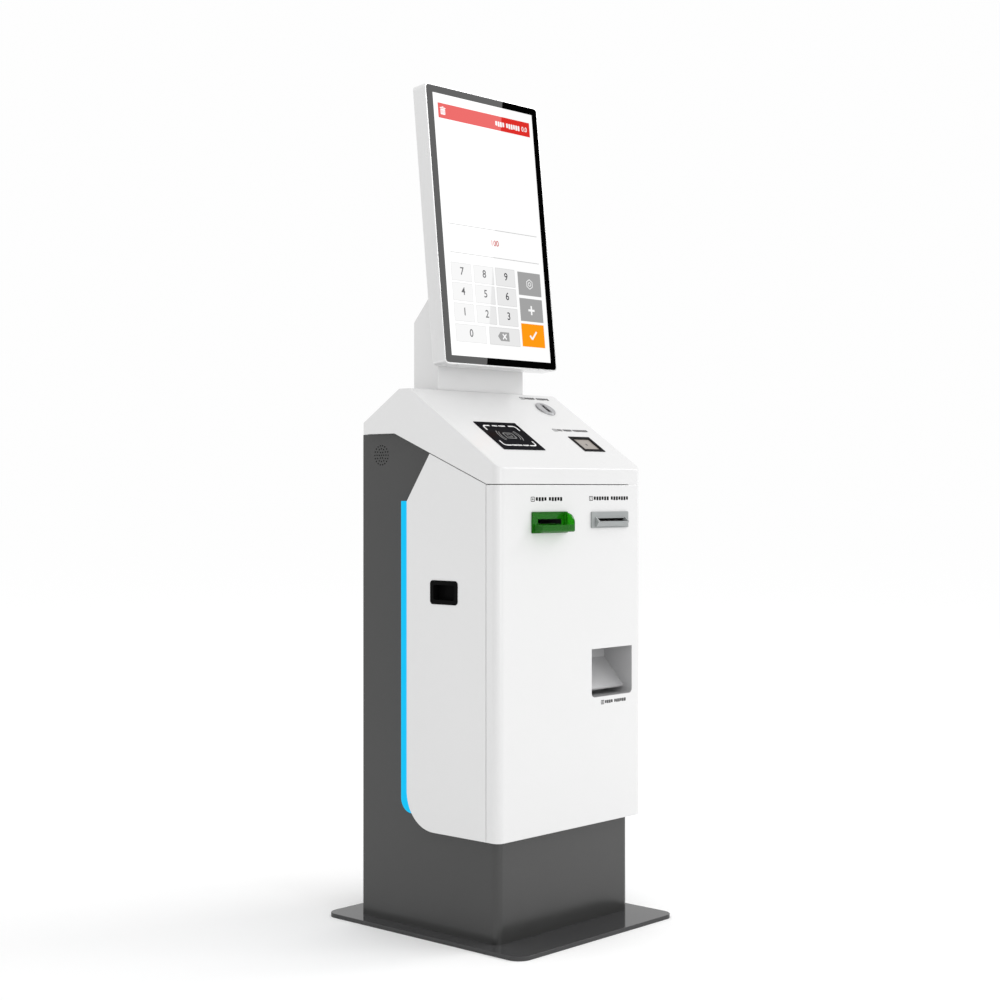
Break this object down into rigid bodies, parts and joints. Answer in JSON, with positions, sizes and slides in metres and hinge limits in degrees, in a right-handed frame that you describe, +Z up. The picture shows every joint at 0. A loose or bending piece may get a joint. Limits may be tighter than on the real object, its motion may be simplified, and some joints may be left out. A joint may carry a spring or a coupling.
{
  "type": "ticket vending machine",
  "caption": "Free-standing payment kiosk with a portrait touch screen, banknote and coin entries, ticket printer and outlet tray.",
  "frame": {"origin": "centre of the base plate's underside", "axes": "+Z up, the front faces -Y, +X is on the right of someone facing the machine"},
  "size_m": [0.472, 0.53, 1.6697],
  "materials": {
    "powder_white": "white powder coat, satin",
    "powder_dark": "dark grey powder coat, satin",
    "base_gloss": "black stoved paint, high gloss",
    "zinc_sheet": "zinc-plated steel sheet",
    "zinc_fastener": "zinc-plated steel",
    "light_cyan": "milky diffuser lit cyan",
    "board_green": "circuit board",
    "black_plastic": "black moulded plastic, fine texture",
    "glass_black": "printed black glass",
    "screen_glass": "touch glass",
    "screen_panel": "display panel",
    "monitor_silver": "anodised, satin",
    "scan_glass": "clear window",
    "coin_steel": "turned stainless",
    "hinge_steel": "stainless",
    "bill_green": "translucent green moulding",
    "validator_grey": "dark grey moulding",
    "printer_grey": "grey moulding",
    "tray_grey": "grey paint, satin",
    "paper_white": "thermal paper",
    "roller_rubber": "black rubber",
    "module_aluminium": "black-printed aluminium case",
    "speaker_black": "black steel basket"
  },
  "bodies": {
    "cabinet": {"base_plate": "base_gloss", "floor_pan": "zinc_sheet", "base_bolts": "zinc_fastener", "cabinet_shell": "powder_dark", "door_frame": "zinc_sheet", "rear_frame": "powder_dark", "equipment_shelf": "zinc_sheet", "neck_bridge": "zinc_sheet", "hood": "powder_white", "side_panel_left": "powder_white", "side_panel_right": "powder_white", "side_pull": "black_plastic", "light_boards": "board_green", "light_diffusers": "light_cyan", "speakers": "speaker_black", "neck": "powder_white", "monitor_frame": "monitor_silver", "touch_glass": "screen_glass", "lcd_panel": "screen_panel", "monitor_back": "powder_white", "nfc_window": "glass_black", "nfc_reader": "board_green", "scan_frame": "black_plastic", "scan_window": "scan_glass", "code_scanner": "black_plastic", "coin_bezel": "coin_steel", "coin_acceptor": "black_plastic", "coin_chutes": "zinc_sheet", "coin_hopper": "validator_grey", "coin_run": "zinc_sheet", "controller_box": "module_aluminium", "power_supply": "module_aluminium", "power_inlet": "black_plastic", "front_hinge_fixed": "hinge_steel", "rear_hinge_fixed": "hinge_steel", "hinge_pins": "hinge_steel", "cover_screws": "zinc_fastener"},
    "front_door": {"front_door": "powder_white", "front_hinge_moving": "hinge_steel", "bill_bezel": "bill_green", "bill_validator": "validator_grey", "cash_box_rails": "zinc_sheet", "printer_bezel": "printer_grey", "printer_chassis": "zinc_sheet", "print_head": "validator_grey", "outlet_tray": "tray_grey"},
    "cash_box": {"cash_box": "validator_grey"},
    "bill_rollers": {"bill_rollers": "roller_rubber"},
    "platen_roller": {"platen_roller": "roller_rubber"},
    "paper_roll": {"paper_roll": "paper_white"},
    "reject_lever": {"reject_lever": "coin_steel"},
    "hopper_disc": {"hopper_disc": "coin_steel"},
    "power_rocker": {"power_rocker": "black_plastic"},
    "rear_door": {"rear_door": "powder_dark", "rear_hinge_moving": "hinge_steel", "rear_lock_barrel": "coin_steel", "fan_frame": "black_plastic"},
    "rear_lock_cam": {"rear_lock_cam": "coin_steel"},
    "fan_rotor": {"fan_rotor": "black_plastic"}
  },
  "joints": [
    {"name": "front_door_hinge", "type": "hinge", "parent": "cabinet", "child": "front_door", "pos_m": [0.2213, -0.16225, 0.54], "axis": [0, 0, 1], "range_deg": [0, 110]},
    {"name": "rear_door_hinge", "type": "hinge", "parent": "cabinet", "child": "rear_door", "pos_m": [0.177, 0.1983, 0.54], "axis": [0, 0, -1], "range_deg": [0, 110]},
    {"name": "cash_box_slide", "type": "slide", "parent": "front_door", "child": "cash_box", "axis": [0, 1, 0], "range_m": [0, 0.06]},
    {"name": "bill_roller_spin", "type": "hinge", "parent": "front_door", "child": "bill_rollers", "pos_m": [-0.073, -0.15, 0.792], "axis": [1, 0, 0], "continuous": true},
    {"name": "platen_spin", "type": "hinge", "parent": "front_door", "child": "platen_roller", "pos_m": [0.1105, -0.15, 0.7975], "axis": [1, 0, 0], "continuous": true},
    {"name": "paper_roll_spin", "type": "hinge", "parent": "front_door", "child": "paper_roll", "pos_m": [0.1105, -0.066, 0.803], "axis": [1, 0, 0], "continuous": true},
    {"name": "reject_lever_pivot", "type": "hinge", "parent": "cabinet", "child": "reject_lever", "pos_m": [0.113, -0.0444, 0.971], "axis": [1, 0, 0], "range_deg": [0, 20], "stiffness_Nm_per_rad": 0.02, "springref_deg": -11.46},
    {"name": "hopper_disc_spin", "type": "hinge", "parent": "cabinet", "child": "hopper_disc", "pos_m": [0.12, 0, 0.585], "axis": [0, 0, 1], "continuous": true},
    {"name": "power_rocker_tilt", "type": "hinge", "parent": "cabinet", "child": "power_rocker", "pos_m": [-0.079, 0.194, 0.04], "axis": [-1, 0, 0], "range_deg": [0, 12]},
    {"name": "rear_lock_turn", "type": "hinge", "parent": "rear_door", "child": "rear_lock_cam", "pos_m": [-0.158, 0.194, 0.5], "axis": [0, -1, 0], "range_deg": [0, 90]},
    {"name": "fan_spin", "type": "hinge", "parent": "rear_door", "child": "fan_rotor", "pos_m": [0, 0.179, 0.85], "axis": [0, 1, 0], "continuous": true}
  ],
  "couplings": [
    {"joint": "paper_roll_spin", "follows": "platen_spin", "ratio": 0.15789}
  ]
}
